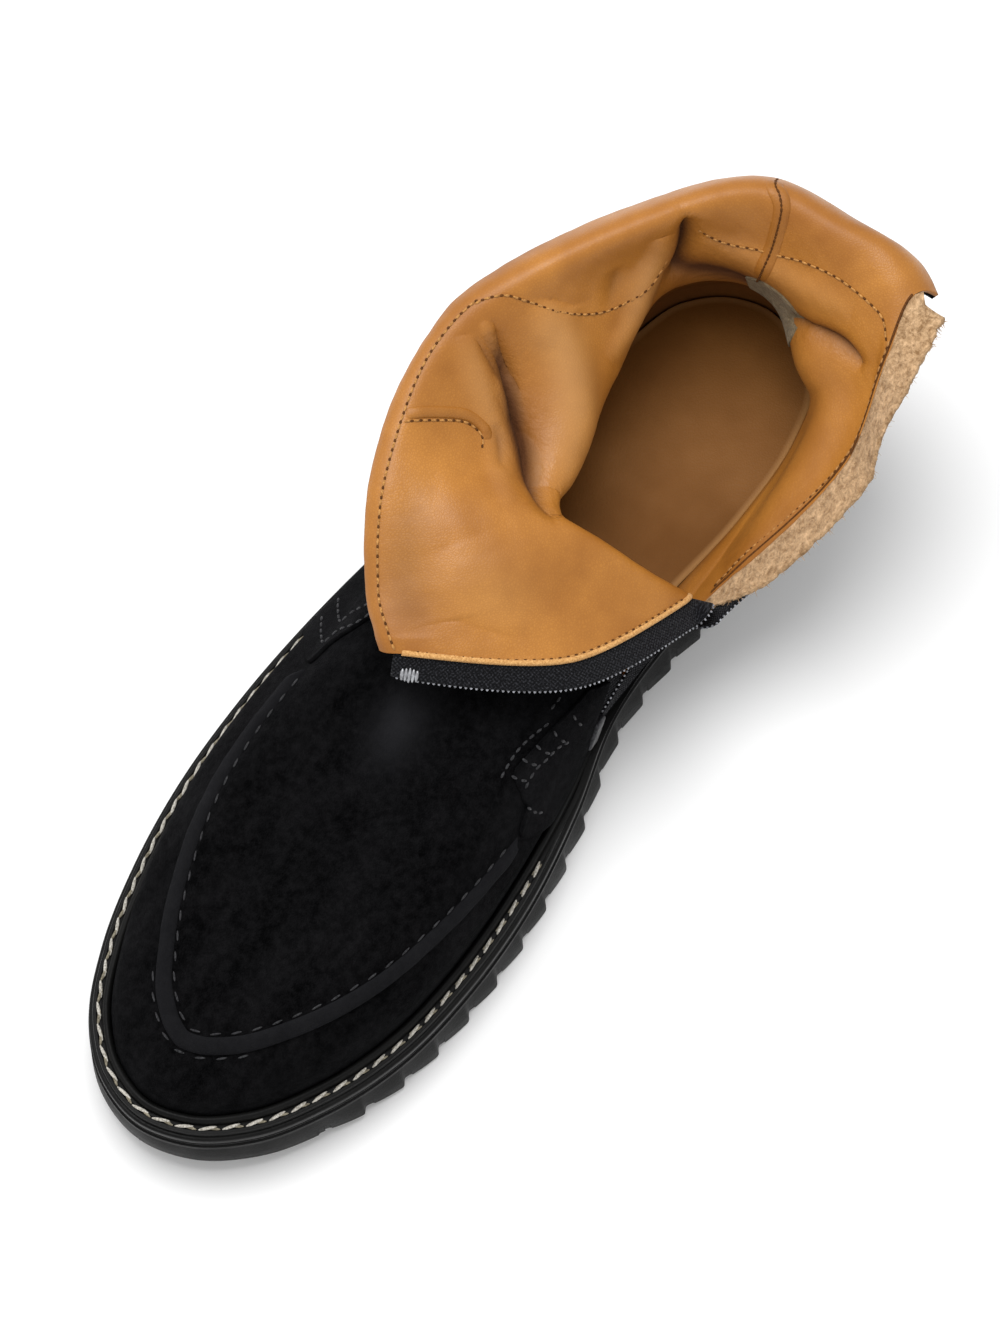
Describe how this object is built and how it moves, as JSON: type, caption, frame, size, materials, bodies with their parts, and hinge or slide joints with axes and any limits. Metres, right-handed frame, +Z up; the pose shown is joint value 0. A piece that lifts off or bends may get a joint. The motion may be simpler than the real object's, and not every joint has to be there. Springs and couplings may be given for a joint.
{
  "type": "zip ankle boot",
  "caption": "Right ankle boot in black suede with an apron toe, stitched welt, lugged rubber sole and an open side zip; tan lining shows in the slack, folded-down shaft.",
  "frame": {"origin": "on the floor under the middle of the heel seat, on the flat of the heel tread", "axes": "+X forward to the toe, +Y to the inner (medial) side, +Z up"},
  "size_m": [0.3055, 0.1182, 0.1146],
  "materials": {
    "suede": "napped black suede",
    "rubber": "matte black rubber",
    "welt": "satin black welt",
    "tan_leather": "smooth tan leather",
    "split_leather": "rough tan split leather",
    "zip_tape": "woven black tape"
  },
  "bodies": {
    "root": {"outsole": "rubber", "midsole": "rubber", "welt": "welt", "insole": "tan_leather", "upper": "suede", "apron_seam": "suede", "saddle_medial": "suede", "saddle_lateral": "suede", "zip_tape_front": "zip_tape", "zip_tape_back": "zip_tape", "zip_guard": "split_leather"}
  },
  "joints": []
}
